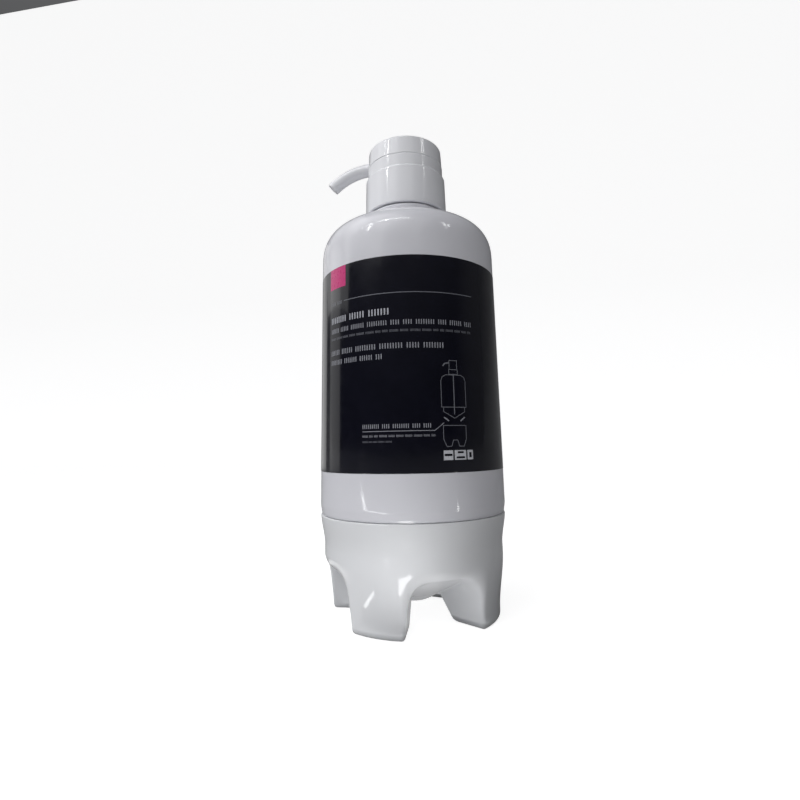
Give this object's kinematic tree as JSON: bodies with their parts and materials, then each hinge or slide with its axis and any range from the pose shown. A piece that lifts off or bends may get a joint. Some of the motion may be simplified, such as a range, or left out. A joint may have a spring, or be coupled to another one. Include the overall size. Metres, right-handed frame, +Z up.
{
  "type": "pump bottle",
  "caption": "Refillable cylindrical pump bottle with a curved spout, wrap label and funnel bottom, standing in a separate footed stand.",
  "frame": {"origin": "on the bottle's axis at floor level, under the stand's feet", "axes": "+Z up along the bottle's axis, label facing -Y, spout towards -X"},
  "size_m": [0.0762, 0.0762, 0.2013],
  "materials": {
    "stand_plastic": "moulded gloss white polypropylene",
    "bottle_plastic": "blown gloss white polyethylene",
    "label_film": "printed black film, glossy",
    "pump_white": "moulded gloss white polypropylene",
    "pump_natural": "natural translucent polypropylene",
    "tube_natural": "extruded natural polyethylene tube",
    "seal_soft": "soft polyethylene seal",
    "steel": "drawn stainless wire and polished balls"
  },
  "bodies": {
    "stand": {"base_stand": "stand_plastic"},
    "bottle": {"bottle": "bottle_plastic", "wrap_label": "label_film"},
    "pump_engine": {"pump_housing": "pump_natural", "housing_cap": "pump_white", "neck_gasket": "seal_soft", "dip_tube": "tube_natural", "ball_cage": "pump_natural", "main_spring": "steel"},
    "closure": {"screw_collar": "pump_white"},
    "inlet_valve": {"inlet_ball": "steel"},
    "piston_group": {"piston": "seal_soft"},
    "head": {"head_body": "pump_white", "head_cap": "pump_white", "upper_stem": "pump_natural", "piston_stem": "pump_natural"},
    "outlet_valve": {"outlet_ball": "steel"}
  },
  "joints": [
    {"name": "bottle_lift", "type": "slide", "parent": "stand", "child": "bottle", "axis": [0, 0, 1], "range_m": [0, 0.06]},
    {"name": "pump_lift", "type": "slide", "parent": "bottle", "child": "pump_engine", "axis": [0, 0, 1], "range_m": [0, 0.0063]},
    {"name": "closure_turn", "type": "hinge", "parent": "pump_engine", "child": "closure", "pos_m": [0, 0, 0.178], "axis": [0, 0, 1], "range_deg": [0, 540]},
    {"name": "head_stroke", "type": "slide", "parent": "pump_engine", "child": "piston_group", "axis": [0, 0, 1], "range_m": [0, 0.015], "deforming": ["main_spring"]},
    {"name": "head_turn", "type": "hinge", "parent": "piston_group", "child": "head", "pos_m": [0, 0, 0.19], "axis": [0, 0, 1], "continuous": true},
    {"name": "inlet_ball_lift", "type": "slide", "parent": "pump_engine", "child": "inlet_valve", "axis": [0, 0, 1], "range_m": [0, 0.0015]},
    {"name": "outlet_ball_lift", "type": "slide", "parent": "head", "child": "outlet_valve", "axis": [0, 0, 1], "range_m": [0, 0.0016]}
  ],
  "couplings": [
    {"joint": "pump_lift", "follows": "closure_turn", "m_per_rad": 0.00066845}
  ]
}
